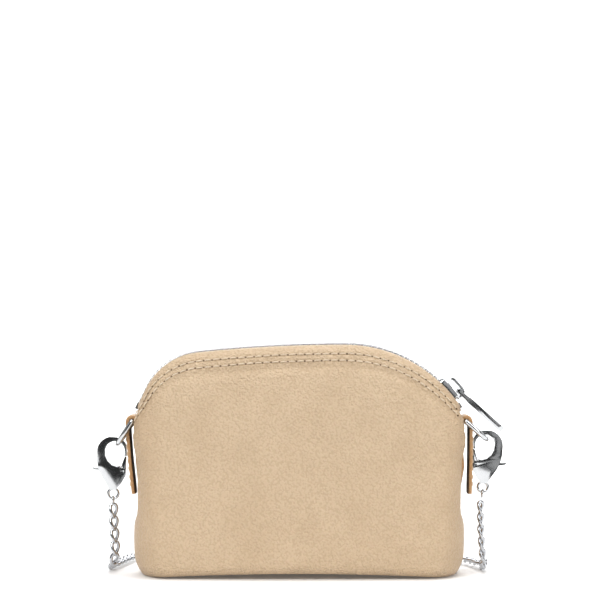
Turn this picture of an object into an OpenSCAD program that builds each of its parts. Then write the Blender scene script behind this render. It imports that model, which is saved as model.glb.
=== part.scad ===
// Small dome-topped leather pouch with a metal zip, side tabs, D-rings,
// lobster clasps and a detachable curb-chain strap.
// Frame: origin on the floor under the middle of the base, +X to the wearer's
// right of the front panel, -Y towards the front, +Z up. Millimetres.

/* [Pouch] */
// Half width of the pouch at its seams
half_w = 70.1; // [68:0.1:72]
// How far the front and back panels bulge beyond the zip lips
bulge = 20; // [12:1:26]
// Half the gap between the two leather lips beside the zip
lip_gap = 4.8; // [4.6:0.1:6]
// Leather thickness
leather = 1.4; // [1:0.1:1.8]
// Radius of the rounded bottom edge
base_r = 5; // [3:0.5:8]

/* [Zip] */
// Height of the highest point of the zip
crown_z = 98.9; // [90:0.1:110]
// Distance of that point to the right of the middle
crown_x = 19.4; // [10:0.1:25]
// Radius of the right-hand shoulder
right_r = 60; // [55:1:65]
// Radius of the left-hand shoulder
left_r = 28; // [24:1:32]
// Tooth pitch on one side
tooth_pitch = 2.5; // [2:0.1:3]
// Resting place of the slider, in degrees round the right shoulder
slider_at = 48.5; // [46:0.5:49]

/* [Hardware] */
// Wire radius of the D-rings
ring_wire = 1.1; // [0.9:0.1:1.3]
// Distance from the bar of a D-ring to its outer wire
ring_reach = 12.2; // [11:0.1:13]
// Length of the puller from its pin
puller_len = 25; // [18:1:27]
// Half width of the side tabs
tab_half = 6; // [4:0.5:6]
// Angle of the right D-ring below level
ring_drop_right = 41; // [38:1:44]
// Angle of the left D-ring below level
ring_drop_left = 57; // [54:1:58]

/* [Chain] */
// Diameter that the chain sweeps
chain_d = 4.4; // [4:0.1:5.2]
// Middle radius of the stored coil
coil_r = 26; // [24:1:30]

/* [Hidden] */
$fn = 48;

leather_colour = [0.84, 0.73, 0.60];
edge_colour = [0.75, 0.59, 0.42];
metal_colour = [0.80, 0.80, 0.82];
tape_colour = [0.80, 0.72, 0.60];
lining_colour = [0.72, 0.62, 0.50];

// ---- the line of the zip, by distance from its left end ----
left_rise = 64;         // heading of the straight run at the left end
crown_rise = 6;         // heading where the left shoulder ends
right_fall = 58;        // heading at the right end
left_run = 12.3;        // length of the straight run
tail_run = 2;           // straight run after the right shoulder
crown_r = 600;          // radius of the almost flat crown
rad = 180 / PI;
left_arc = left_r * (left_rise - crown_rise) / rad;
crown_arc = crown_r * crown_rise / rad;
right_arc = right_r * right_fall / rad;
s_left = left_run;
s_flat = s_left + left_arc;
s_top = s_flat + crown_arc;
s_right = s_top + right_arc;
zip_len = s_right + tail_run;
right_c = [crown_x, crown_z - right_r];
crown_c = [crown_x, crown_z - crown_r];
left_c = crown_c + (crown_r - left_r) * [-sin(crown_rise), cos(crown_rise)];

function round_pt(c, r, heading) = c + r * [-sin(heading), cos(heading)];
function heading_at(s) =
    s < s_left ? left_rise
    : s < s_flat ? left_rise - (s - s_left) / left_r * rad
    : s < s_top ? crown_rise - (s - s_flat) / crown_r * rad
    : s < s_right ? -(s - s_top) / right_r * rad
    : -right_fall;
function zip_at(s) =
    let (h = heading_at(s))
    s < s_left ? round_pt(left_c, left_r, left_rise)
        - (s_left - s) * [cos(left_rise), sin(left_rise)]
    : s < s_flat ? round_pt(left_c, left_r, h)
    : s < s_top ? round_pt(crown_c, crown_r, h)
    : s < s_right ? round_pt(right_c, right_r, h)
    : round_pt(right_c, right_r, -right_fall)
        + (s - s_right) * [cos(right_fall), -sin(right_fall)];

// ---- the wall of the pouch ----
corner_share = 0.14;    // part of the sweep that rounds each side
corner_w = 14;          // width of that rounding at the base
lip_run = 11;           // length of zip over which the lips close
edge_drop = 1.0;        // leather edge below the top of the teeth
tab_dent = 3.3;         // how far each tab presses its side in
dent_half = 11;         // half width of that dent

function smooth(x) = let (c = max(0, min(1, x))) c * c * (3 - 2 * c);
// angle of the side rounding, 0 at a seam and 90 on the flat of a panel
function turn(p) = 90 * min(1, min(p, 1 - p) / corner_share);
// the same share of a length taken from both ends of a span
function spread(p, span, run) =
    let (m = (p - corner_share) / (1 - 2 * corner_share))
    p < corner_share ? run * (1 - cos(turn(p)))
    : p > 1 - corner_share ? span - run * (1 - cos(turn(p)))
    : run + m * (span - 2 * run);
function side_w(z) = half_w + 0.7 * cos(360 * (z - 15) / 50)
    - 2.5 * pow(max(0, 1 - z / 8), 2);
function dent(y, z) = tab_dent * smooth((dent_half - abs(y)) / 4)
    * smooth((z - 20) / 14) * smooth((72 - z) / 5);
function depth(p, t, e) = lip_gap + (bulge - e) * pow(max(0, 1 - t * t), 0.6)
    * (0.82 + 0.18 * (1 - pow(2 * p - 1, 2)));
// one point of the front wall: p across, t up, e in from the outside
function wall(p, t, e) =
    let (top = zip_at(spread(p, zip_len, lip_run)),
         z = e + t * (top[1] - edge_drop - 2 * e),
         u = spread(p, 2 * half_w, corner_w) / half_w - 1,
         m = smooth(t),
         x = m * top[0] * (1 - e / half_w) + (1 - m) * u * (side_w(z) - e),
         r = base_r - e,
         tuck = r - sqrt(r * r - pow(max(0, r - (z - e)), 2)),
         y = sin(turn(p)) * (depth(p, t, e) - tuck))
    [x - sign(x) * dent(y, z), -y, z];
// a point of the flat base: f runs from the seam out to the rounding
function base_pt(p, f, e) =
    let (out = wall(p, 0, e)) [out[0] * (0.9 + 0.1 * f), out[1] * f, e];

base_rows = [0, 0.5];
round_rows = [0, 40, 90];
function row(p, j, n, e) =
    let (k = j - len(base_rows), r = base_r - e,
         high = zip_at(spread(p, zip_len, lip_run))[1] - edge_drop - 2 * e,
         t0 = r / high, v = (k - 2) / (n - 4))
    j < len(base_rows) ? base_pt(p, base_rows[j], e)
    : k < 3 ? wall(p, t0 * (1 - cos(round_rows[k])), e)
    : wall(p, t0 + (1 - t0) * (1 - pow(1 - v, 1.7)), e);

// closed shell between two grids of points, rows x columns
function quads(rows, cols, o, flip) = [for (j = [0 : rows - 2], i = [0 : cols - 2])
    let (a = o + j * cols + i, b = a + 1, c = b + cols, d = a + cols,
         pair = i < cols / 2 ? [[a, c, b], [a, d, c]] : [[a, d, b], [b, d, c]])
    each (flip ? [for (f = pair) [f[0], f[2], f[1]]] : pair)];
function rim(rows, cols) =
    let (n = rows * cols,
         loop = concat([for (i = [0 : cols - 2]) i],
            [for (j = [0 : rows - 2]) (j + 1) * cols - 1],
            [for (i = [cols - 1 : -1 : 1]) (rows - 1) * cols + i],
            [for (j = [rows - 1 : -1 : 1]) j * cols]))
    [for (i = [0 : len(loop) - 1])
        let (a = loop[i], b = loop[(i + 1) % len(loop)])
        each [[a, b, b + n], [a, b + n, a + n]]];
module shell(outer, inner) {
    rows = len(outer);
    cols = len(outer[0]);
    polyhedron(
        points = concat([for (r = outer) each r], [for (r = inner) each r]),
        faces = concat(quads(rows, cols, 0, false),
            quads(rows, cols, rows * cols, true), rim(rows, cols)));
}
// places across a wall: close together round each side, even over the flat
corner_turns = [0, 5, 10, 15, 20, 26, 32, 40, 50, 63, 76, 90];
function places(mid) = let (ends = [for (a = corner_turns) corner_share * a / 90], n = len(ends))
    concat(ends,
        [for (k = [1 : mid - 1]) corner_share + (1 - 2 * corner_share) * k / mid],
        [for (k = [n - 1 : -1 : 0]) 1 - ends[k]]);
module wall_shell(mid, rows, e_out, e_in, top_row) {
    shell([for (j = [0 : top_row]) [for (p = places(mid)) row(p, j, rows, e_out)]],
        [for (j = [0 : top_row]) [for (p = places(mid)) row(p, j, rows, e_in)]]);
}

module front_panel() {
    color(leather_colour) wall_shell(20, 18, 0, leather, 18);
}
module back_panel() {
    color(leather_colour) mirror([0, 1, 0]) wall_shell(20, 18, 0, leather, 18);
}
module front_lining() {
    color(lining_colour) wall_shell(14, 14, leather + 0.35, leather + 0.75, 11);
}
module back_lining() {
    color(lining_colour) mirror([0, 1, 0])
        wall_shell(14, 14, leather + 0.35, leather + 0.75, 11);
}

// ---- zip tapes: a strip beside the teeth that dips under the leather ----
open_from = s_top + right_r * 8 / rad;
open_to = s_top + right_r * 54.5 / rad;
tape_in = 1.9;          // inner edge of a tape, from the middle
tape_mid = 1.05;        // top of the tape below the top of the teeth
tape_t = 0.5;
tape_steps = [1, 0.975, 0.945];
// share of the wall's sweep that lies under one place on the zip
function lip_share(s) =
    s < lip_run ? corner_share * acos(1 - s / lip_run) / 90
    : s > zip_len - lip_run
        ? 1 - corner_share * acos(1 - (zip_len - s) / lip_run) / 90
    : corner_share + (s - lip_run) / (zip_len - 2 * lip_run) * (1 - 2 * corner_share);
function off_zip(s, y, h) =
    let (c = zip_at(s), a = heading_at(s))
    [c[0] - h * sin(a), y, c[1] + h * cos(a)];
function tape_line(s, low) =
    let (g = max(0.45, sin(turn(lip_share(s)))), e = leather + 0.3 + low)
    concat([off_zip(s, -tape_in * min(1, g * 1.2), -tape_mid - low),
            off_zip(s, -4.3 * g, -tape_mid - 0.15 - low)],
        [for (t = tape_steps) wall(lip_share(s), t, e)]);
module tape_run(s0, s1) {
    n = ceil((s1 - s0) / 3.4);
    lines = [for (i = [0 : n]) s0 + (s1 - s0) * i / n];
    shell([for (s = lines) tape_line(s, 0)], [for (s = lines) tape_line(s, tape_t)]);
}
// middle of the space between two teeth, where a side starts to open
function space_near(shift) = let (f = first_tooth + shift)
    f + tooth_pitch * (round((open_from - f) / tooth_pitch - 0.5) + 0.5);
module tape(shift) {
    color(tape_colour) {
        tape_run(2, space_near(shift) - 0.1);
        tape_run(open_to + 0.2, zip_len - 1.5);
    }
}
module tape_opening(shift) { color(tape_colour) tape_run(space_near(shift) + 0.1, open_to); }
module front_tape() { tape(0); }
module back_tape() { mirror([0, 1, 0]) tape(tooth_pitch / 2); }
module front_tape_opening() { tape_opening(0); }
module back_tape_opening() { mirror([0, 1, 0]) tape_opening(tooth_pitch / 2); }

// ---- teeth ----
tooth_t = 2.4;
tooth_w = 1.1;
first_tooth = 6;
last_tooth = s_top + right_r * (slider_at + 1) / rad;
module along_zip(s) {
    c = zip_at(s);
    translate([c[0], 0, c[1]]) rotate([0, -heading_at(s), 0]) children();
}
module tooth() {
    translate([-tooth_w / 2, -3, -tooth_t]) cube([tooth_w, 3.7, tooth_t]);
    translate([-tooth_w / 2 - 0.25, -3.2, -tooth_t]) cube([tooth_w + 0.5, 1.6, tooth_t]);
}
module teeth(shift, from, to) {
    for (s = [first_tooth + shift : tooth_pitch : last_tooth])
        if (s >= from && s < to) along_zip(s) tooth();
}
module front_teeth() { color(metal_colour) teeth(0, 0, open_from); }
module back_teeth() {
    color(metal_colour) mirror([0, 1, 0]) teeth(tooth_pitch / 2, 0, open_from);
}
module front_teeth_opening() { color(metal_colour) teeth(0, open_from, open_to); }
module back_teeth_opening() {
    color(metal_colour) mirror([0, 1, 0]) teeth(tooth_pitch / 2, open_from, open_to);
}
module top_stops() {
    color(metal_colour) along_zip(s_right - 1.6) for (k = [-1, 1])
        translate([-1.1, k > 0 ? 0.5 : -2.7, -2.5]) cube([2.2, 2.2, 2.5]);
}
module bottom_stop() {
    color(metal_colour) along_zip(3.2) difference() {
        translate([-1.5, -2.4, -2.5]) cube([3, 4.8, 2.7]);
        translate([-2, -3, -1.65]) cube([4, 6, 0.7]);
    }
}

// ---- slider: everything here is set round the right shoulder ----
slider_half = 5.5;      // half its angle round the shoulder, degrees
plate_t = 1.0;
plate_top = 1.35;       // outer face above the top of the teeth
plate_low = -3.75;      // outer face of the lower plate
flange_in = 3.45;
slider_w = 4.2;         // half width
module on_shoulder(a) {
    c = right_c + right_r * [sin(a), cos(a)];
    translate([c[0], 0, c[1]]) rotate([0, a, 0]) children();
}
module shoulder_ring(r0, r1, y0, y1) {
    translate([right_c[0], 0, right_c[1]]) rotate([90, 0, 0])
        rotate([0, 0, 90 - slider_at - slider_half])
            rotate_extrude(angle = 2 * slider_half, $fn = 180)
                translate([right_r + r0, -y1]) square([r1 - r0, y1 - y0]);
}
module slider_outline() {
    on_shoulder(slider_at) translate([0, 0, -6]) linear_extrude(12)
        polygon(concat(arc([-4, -2.6], 1.6, 180, 270, 6),
            [[4.2, -slider_w], [5.9, -2.6], [5.9, 2.6], [4.2, slider_w]],
            arc([-4, 2.6], 1.6, 90, 180, 6)));
}
module slider_body() {
    color(metal_colour) {
        intersection() {
            union() {
                shoulder_ring(plate_top - plate_t, plate_top, -slider_w, slider_w);
                shoulder_ring(plate_low, plate_low + plate_t, -slider_w, slider_w);
                for (k = [-1, 1]) {
                    a = k > 0 ? flange_in : -slider_w;
                    shoulder_ring(-0.8, plate_top - plate_t / 2, a, a + slider_w - flange_in);
                    shoulder_ring(plate_low + plate_t / 2, -1.95, a, a + slider_w - flange_in);
                }
            }
            slider_outline();
        }
        on_shoulder(slider_at + 4) translate([0, 0, plate_low + plate_t / 2])
            cylinder(r = 1.15, h = plate_top - plate_low - plate_t);
    }
}

// a bent strip of even thickness: centre points, with round stretches as arcs
function arc(c, r, a0, a1, n) = [for (i = [0 : n])
    c + r * [cos(a0 + (a1 - a0) * i / n), sin(a0 + (a1 - a0) * i / n)]];
function way(a, b) = (b - a) / norm(b - a);
function strip_side(path, k) = [for (i = [0 : len(path) - 1])
    let (a = path[max(0, i - 1)], b = path[min(len(path) - 1, i + 1)], d = way(a, b))
    path[i] + k * [-d[1], d[0]]];
module strip(path, t, w) {
    rev = strip_side(path, -t / 2);
    n = len(rev) - 1;
    rotate([90, 0, 0]) translate([0, 0, -w / 2]) linear_extrude(w)
        polygon(concat(strip_side(path, t / 2), [for (i = [n : -1 : 0]) rev[i]]));
}
bridge_t = 1.2;
bridge_path = concat([[5.5, 0.9], [5.55, 1.8]], arc([3.6, 2.5], 1.95, 0, 90, 6),
    arc([-1.2, 2.75], 1.75, 90, 150, 4));
module slider_bridge() {
    color(metal_colour) on_shoulder(slider_at) strip(bridge_path, bridge_t, 3.2);
}
module slider_lock_spring() {
    color(metal_colour) on_shoulder(slider_at)
        strip([[-2.2, 1.7], [-1.2, 1.5], [0.6, 1.5]], 0.3, 1.6);
}
pin_local = [3.7, 2.75];
pin_r = 0.65;
puller_drop = 42;       // puller's angle below level at rest
module zip_puller() {
    neck = 4;
    color(metal_colour) on_shoulder(slider_at) translate([pin_local[0], 0, pin_local[1]])
        rotate([0, puller_drop - slider_at, 0]) {
            rotate([90, 0, 0]) cylinder(r = pin_r, h = 5.6, center = true);
            for (k = [-1, 1]) translate([0, k * 2.35, 0]) {
                rotate([90, 0, 0]) cylinder(r = 1.1, h = 0.9, center = true);
                translate([0, -0.45, -0.8]) cube([neck + 0.5, 0.9, 1.6]);
            }
            translate([neck, -2.8, -0.9]) cube([1.5, 5.6, 1.8]);
            translate([neck + 1, -2.6, -1.15]) cube([puller_len - neck - 3.5, 5.2, 2.3]);
            translate([puller_len - 2.6, 0, 0]) intersection() {
                cylinder(r = 2.6, h = 2.3, center = true);
                translate([-0.2, -3, -2]) cube([4, 6, 4]);
            }
        }
}

// ---- side tabs and D-rings; x grows away from the pouch on either side ----
tab_t = 1.8;
bar = [71.4, 65];       // bar of a D-ring, shared by its tab
loop_r = ring_wire + 0.1 + tab_t / 2;
right_tab_path = concat([[68, 35.6], [69.9, 46], [bar[0] - loop_r, 53]],
    arc(bar, loop_r, 180, 0, 12), [[73.4, 50], [73.1, 34]]);
left_tab_path = concat([[67.7, 35.6], [68.8, 46], [bar[0] - loop_r, 53]],
    arc(bar, loop_r, 180, 0, 12), [[72.4, 50], [70.75, 34]]);
module side(k) { mirror([k < 0 ? 1 : 0, 0, 0]) children(); }
module right_tab() { color(edge_colour) strip(right_tab_path, tab_t, 2 * tab_half); }
module left_tab() { color(edge_colour) side(-1) strip(left_tab_path, tab_t, 2 * tab_half); }

ring_half = 7.6;        // half width of a D-ring between wire centres
module d_ring(drop) {
    color(metal_colour) translate([bar[0], 0, bar[1]]) rotate([0, drop, 0]) {
        rotate([90, 0, 0]) cylinder(r = ring_wire, h = 2 * ring_half, center = true);
        for (k = [-1, 1]) translate([0, k * ring_half, 0]) {
            sphere(ring_wire);
            rotate([0, 90, 0]) cylinder(r = ring_wire, h = ring_reach - ring_half);
        }
        translate([ring_reach - ring_half, 0, 0]) rotate([0, 0, -90])
            rotate_extrude(angle = 180) translate([ring_half, 0]) circle(ring_wire);
    }
}
module right_d_ring() { d_ring(ring_drop_right); }
module left_d_ring() { side(-1) d_ring(ring_drop_left); }

// ---- lobster clasps, drawn about the middle of the hook's opening ----
clasp_t = 4.4;          // thickness of the body
hook_t = 3;             // thickness of the hook
gate_t = 1.6;
right_hook = [79.7, 53.7];
left_hook = [79.1, 50.9];
right_tilt = 5;
gate_pivot = [-3.2, -7.8];
eye_at = [0.8, -17.1];
eye_r = 2.15;
eye_wire = 0.6;
outside = concat([[-5.1, -0.9]], arc([-0.2, 2.2], 4.95, 165, 90, 5),
    arc([1.2, 0.9], 6.5, 80, 0, 6), [[7.7, -3], [7.1, -6], [5.6, -9.4], [3.6, -12.6],
    [2.3, -15.2], [-0.6, -15.2], [-2.8, -12.4], [-4.5, -9.4], [-4.7, -7]]);
opening = concat([[-4.3, 0.6]], arc([0, 1.2], 4.25, 170, 10, 10),
    [[4.1, -0.9], [3.2, -3], [1.4, -4.7], [-1.1, -5.6], [-2.6, -5.0]]);
module hook_outline() {
    difference() {
        polygon(outside);
        polygon(opening);
        polygon([[-6, -0.9], [-3.3, -0.9], [-2.2, -5.2], [-2.2, -6.4], [-6, -6.4]]);
    }
}
module in_plane(t) { rotate([90, 0, 0]) translate([0, 0, -t / 2]) linear_extrude(t) children(); }
module clasp_body() {
    color(metal_colour) {
        difference() {
            union() {
                in_plane(hook_t) hook_outline();
                intersection() {
                    in_plane(clasp_t) hook_outline();
                    translate([-8, -4, -15.2]) cube([16, 8, 10.6]);
                }
            }
            // slot that the gate and its thumb lever swing in
            in_plane(gate_t + 0.6) polygon([[-6, -5], [-2.2, -5], [0, -5.9], [8.5, -4.6],
                [8.5, -11.6], [3.4, -11.2], [-0.6, -10.4], [-6, -9.9]]);
            translate([gate_pivot[0], 0, gate_pivot[1]]) rotate([90, 0, 0])
                cylinder(r = 0.55, h = 6, center = true);
        }
        translate([eye_at[0], 0, eye_at[1]]) rotate([90, 0, 0])
            rotate_extrude() translate([eye_r, 0]) circle(eye_wire);
    }
}
module clasp_gate() {
    color(metal_colour) difference() {
        in_plane(gate_t) polygon([[-4.95, -1.15], [-4.2, -1.15], [-2.7, -5.2], [-2.1, -6.7],
            [2.5, -6.9], [7.8, -6.1], [9.7, -5.7], [9.8, -6.5], [8, -7.2], [2.6, -8],
            [-1.7, -8.6], [-2.6, -9.1], [-3.8, -9.1], [-4.5, -8.4], [-4.7, -6.6]]);
        translate([gate_pivot[0], 0, gate_pivot[1]]) rotate([90, 0, 0])
            cylinder(r = 0.6, h = 4, center = true);
    }
}
module gate_pin() {
    color(metal_colour) translate([gate_pivot[0], 0, gate_pivot[1]]) rotate([90, 0, 0])
        cylinder(r = 0.55, h = clasp_t, center = true);
}
module gate_spring() {
    color(metal_colour) for (k = [0 : 3]) translate([0.4, 0, -8.7 - 0.45 * k])
        rotate_extrude($fn = 24) translate([0.6, 0]) circle(0.18, $fn = 16);
}
link_at = eye_at + [0, -eye_r - 0.5];
module end_link() {
    color(metal_colour) translate([link_at[0], 0, link_at[1]]) rotate([0, 90, 0])
        rotate_extrude() translate([1.6, 0]) circle(0.45);
}
module right_clasp() {
    translate([right_hook[0], 0, right_hook[1]]) rotate([0, right_tilt, 0]) children();
}
module left_clasp() { side(-1) translate([left_hook[0], 0, left_hook[1]]) children(); }
module right_clasp_body() { right_clasp() clasp_body(); }
module left_clasp_body() { left_clasp() clasp_body(); }
module right_clasp_gate() { right_clasp() clasp_gate(); }
module left_clasp_gate() { left_clasp() clasp_gate(); }
module right_gate_pin() { right_clasp() gate_pin(); }
module left_gate_pin() { left_clasp() gate_pin(); }
module right_gate_spring() { right_clasp() gate_spring(); }
module left_gate_spring() { left_clasp() gate_spring(); }
module right_end_link() { right_clasp() end_link(); }
module left_end_link() { left_clasp() end_link(); }

// ---- chain: plain tubes along hand-set routes, and the stored coil ----
chain_z = chain_d / 2;
run_right = [[78, 0, 30], [78, 0, 24], [78.2, 0, 17], [78.6, 0, 10], [79, 0, 6],
    [79.6, 1, 3.6], [80, 4, 2.3], [79, 10, 2.2], [76, 20, 2.2], [71.5, 29, 2.2],
    [65, 37, 2.2], [56, 43.5, 2.2], [48.5, 50, 2.2], [44.8, 58, 2.2], [39.4, 65, 2.2],
    [31.62, 67, 2.2]];
run_left = [[-79.8, 0, 27.4], [-79.6, 0, 22], [-79.2, 0, 16], [-79, 0, 10], [-79, 0, 6],
    [-80, 1, 3.6], [-81, 4, 2.3], [-80, 12, 2.2], [-77, 26, 2.2], [-73, 40, 2.2],
    [-66, 52, 2.2], [-57, 61.5, 2.2], [-49, 69, 2.2], [-40.5, 72.5, 2.2], [-32.6, 73, 2.2]];
floor_from = 4;         // the point where a run's hanging part ends
coil_c = [0, 75];
coil_w = 13.2;          // width of the coil's section
coil_h = 8.8;           // height of the coil's section
function flow(path, i) = way(path[max(0, i - 1)], path[min(len(path) - 1, i + 1)]);
function ring_at(path, i) =
    let (d = flow(path, i), up = abs(d[2]) > 0.8 ? [0, 1, 0] : [0, 0, 1],
         a = way([0, 0, 0], cross(d, up)), b = cross(a, d))
    [for (k = [0 : 9]) path[i] + chain_z * (cos(36 * k) * a + sin(36 * k) * b)];
module tube(path, from, to) {
    n = to - from + 1;
    polyhedron(points = [for (i = [from : to]) each ring_at(path, i)],
        faces = concat([[for (k = [0 : 9]) k]], [[for (k = [9 : -1 : 0]) (n - 1) * 10 + k]],
            [for (i = [0 : n - 2], k = [0 : 9]) let (a = i * 10, l = (k + 1) % 10)
                each [[a + k, a + 10 + k, a + 10 + l], [a + k, a + 10 + l, a + l]]]));
}
module chain_drop_left() { color(metal_colour) tube(run_left, 0, floor_from); }
module chain_drop_right() { color(metal_colour) tube(run_right, 0, floor_from); }
module chain_floor_left() {
    color(metal_colour) tube(run_left, floor_from, len(run_left) - 1);
}
module chain_floor_right() {
    color(metal_colour) tube(run_right, floor_from, len(run_right) - 1);
}
module chain_coil() {
    color(metal_colour) translate([coil_c[0], coil_c[1], 0]) rotate_extrude($fn = 72)
        translate([coil_r - coil_w / 2, 0]) square([coil_w, coil_h]);
}

front_panel();
back_panel();
front_lining();
back_lining();
front_tape();
back_tape();
front_tape_opening();
back_tape_opening();
front_teeth();
back_teeth();
front_teeth_opening();
back_teeth_opening();
top_stops();
bottom_stop();
slider_body();
slider_bridge();
slider_lock_spring();
zip_puller();
left_tab();
right_tab();
left_d_ring();
right_d_ring();
left_clasp_body();
right_clasp_body();
left_clasp_gate();
right_clasp_gate();
left_gate_pin();
right_gate_pin();
left_gate_spring();
right_gate_spring();
left_end_link();
right_end_link();
chain_drop_left();
chain_drop_right();
chain_floor_left();
chain_floor_right();
chain_coil();
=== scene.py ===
# Leather pouch with a metal zip, D-rings, lobster clasps and a curb chain.
# Metres throughout; the front panel faces -Y and the floor is z = 0.
import math
import bpy
import numpy as np
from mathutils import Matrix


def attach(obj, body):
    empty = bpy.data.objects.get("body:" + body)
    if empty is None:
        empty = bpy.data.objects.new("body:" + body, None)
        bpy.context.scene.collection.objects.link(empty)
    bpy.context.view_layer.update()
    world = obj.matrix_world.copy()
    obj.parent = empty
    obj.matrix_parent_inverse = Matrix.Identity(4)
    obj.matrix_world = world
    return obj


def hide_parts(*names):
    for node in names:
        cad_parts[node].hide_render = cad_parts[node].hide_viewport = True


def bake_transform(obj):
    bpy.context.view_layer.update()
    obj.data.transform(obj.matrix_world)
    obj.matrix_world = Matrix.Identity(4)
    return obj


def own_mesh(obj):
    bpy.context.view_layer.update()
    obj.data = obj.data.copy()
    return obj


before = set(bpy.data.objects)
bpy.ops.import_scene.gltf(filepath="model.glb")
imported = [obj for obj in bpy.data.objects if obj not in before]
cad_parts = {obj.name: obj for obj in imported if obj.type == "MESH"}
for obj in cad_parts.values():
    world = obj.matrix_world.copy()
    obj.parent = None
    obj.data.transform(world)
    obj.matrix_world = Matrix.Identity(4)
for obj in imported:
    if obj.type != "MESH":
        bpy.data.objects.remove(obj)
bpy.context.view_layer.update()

mm = 0.001
nodeObjects = {o.name: o for o in bpy.data.objects if o.type == "MESH"}


# ---------- meshes ----------
def smoothStep(x):
    c = np.clip(x, 0, 1)
    return c * c * (3 - 2 * c)


def unit(v):
    return v / np.maximum(np.linalg.norm(v, axis=-1, keepdims=True), 1e-12)


def gridFaces(rows, cols, start=0, wrapRows=False, wrapCols=False):
    # quads between neighbouring points of a rows x cols grid
    r = np.arange(rows if wrapRows else rows - 1)[:, None]
    c = np.arange(cols if wrapCols else cols - 1)[None, :]
    r2, c2 = (r + 1) % rows, (c + 1) % cols
    quads = [r * cols + c, r * cols + c2, r2 * cols + c2, r2 * cols + c]
    return np.stack([np.broadcast_to(q, (r.size, c.size)) for q in quads], -1).reshape(-1, 4) + start


def makeObject(name, points, faces, material, smooth=True, uv=None, extra=()):
    # extra faces are lists of point numbers that close the ends
    mesh = bpy.data.meshes.new(name)
    mesh.from_pydata(np.asarray(points, float).reshape(-1, 3).tolist(), [],
                     np.asarray(faces).tolist() + [list(map(int, f)) for f in extra])
    mesh.polygons.foreach_set("use_smooth", np.full(len(mesh.polygons), smooth))
    if uv is not None:
        corners = np.empty(len(mesh.loops), np.int32)
        mesh.loops.foreach_get("vertex_index", corners)
        layer = mesh.uv_layers.new(name="surface")
        layer.data.foreach_set("uv", np.asarray(uv, float).reshape(-1, 2)[corners].ravel())
    for m in material if isinstance(material, (list, tuple)) else [material]:
        mesh.materials.append(m)
    mesh.update()
    obj = bpy.data.objects.new(name, mesh)
    bpy.context.scene.collection.objects.link(obj)
    return obj


def outward(obj):
    # turns a closed mesh's faces so that its volume is positive
    mesh = obj.data
    p = np.empty(len(mesh.vertices) * 3)
    mesh.vertices.foreach_get("co", p)
    p = p.reshape(-1, 3)
    mesh.calc_loop_triangles()
    t = np.empty(len(mesh.loop_triangles) * 3, np.int32)
    mesh.loop_triangles.foreach_get("vertices", t)
    a, b, c = (p[t.reshape(-1, 3)[:, k]] for k in range(3))
    if np.einsum("ij,ij->i", a, np.cross(b, c)).sum() < 0:
        mesh.flip_normals()
    return obj


def repeatShape(shape, faces, origins, right, ahead, up):
    # copies one small shape to many places, each with its own three axes
    pts = (origins[:, None] + shape[None, :, 0:1] * right[:, None]
           + shape[None, :, 1:2] * ahead[:, None] + shape[None, :, 2:3] * up[:, None])
    jumps = (np.arange(len(origins)) * len(shape))[:, None, None]
    return pts.reshape(-1, 3), (np.asarray(faces)[None] + jumps).reshape(-1, np.shape(faces)[1])


def finish(obj, bevel=0, segments=2, subdivide=0):
    if bevel:
        m = obj.modifiers.new("edges", "BEVEL")
        m.width, m.segments, m.limit_method, m.angle_limit = bevel, segments, "ANGLE", 0.6
        m.harden_normals = True
    if subdivide:
        m = obj.modifiers.new("rounding", "SUBSURF")
        m.levels = m.render_levels = subdivide
    return obj


def alongRoute(points, step):
    # smooth curve through the points (each stretch is a cubic whose end slopes are
    # those of its neighbours' chords), sampled evenly by length
    p = np.asarray(points, float)
    gap = np.linalg.norm(np.diff(p, axis=0), axis=1) ** 0.5
    knot = np.concatenate([[0], np.cumsum(gap)])
    slope = np.gradient(p, knot, axis=0)
    u = np.linspace(0, knot[-1], 60 * len(p))
    k = np.clip(np.searchsorted(knot, u, side="right") - 1, 0, len(p) - 2)
    h = gap[k][:, None]
    f = ((u - knot[k]) / gap[k])[:, None]
    line = ((1 + 2 * f) * (1 - f) ** 2 * p[k] + f * (1 - f) ** 2 * h * slope[k]
            + f * f * (3 - 2 * f) * p[k + 1] + f * f * (f - 1) * h * slope[k + 1])
    s = np.concatenate([[0], np.cumsum(np.linalg.norm(np.diff(line, axis=0), axis=1))])
    n = max(2, int(round(s[-1] / step)) + 1)
    even = np.linspace(0, s[-1], n)
    return np.stack([np.interp(even, s, line[:, a]) for a in range(3)], 1), s[-1]


# ---------- materials ----------
class Num:
    # one number socket; sums on it add Math nodes
    def __init__(self, bench, socket):
        self.bench, self.socket = bench, socket

    def maths(self, operation, other=0.0, swapped=False):
        a, b = (other, self) if swapped else (self, other)
        return self.bench.add("ShaderNodeMath", {"operation": operation}, {0: a, 1: b})

    def __add__(self, o): return self.maths("ADD", o)
    def __sub__(self, o): return self.maths("SUBTRACT", o)
    def __mul__(self, o): return self.maths("MULTIPLY", o)
    def __truediv__(self, o): return self.maths("DIVIDE", o)
    def __pow__(self, o): return self.maths("POWER", o)
    def __rsub__(self, o): return self.maths("SUBTRACT", o, True)
    __radd__, __rmul__ = __add__, __mul__

    def between(self, low, high, toLow=0.0, toHigh=1.0):
        # eased from toLow to toHigh as this runs from low to high
        return self.bench.add("ShaderNodeMapRange", {"interpolation_type": "SMOOTHSTEP"},
                              {0: self, 1: low, 2: high, 3: toLow, 4: toHigh})


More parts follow.
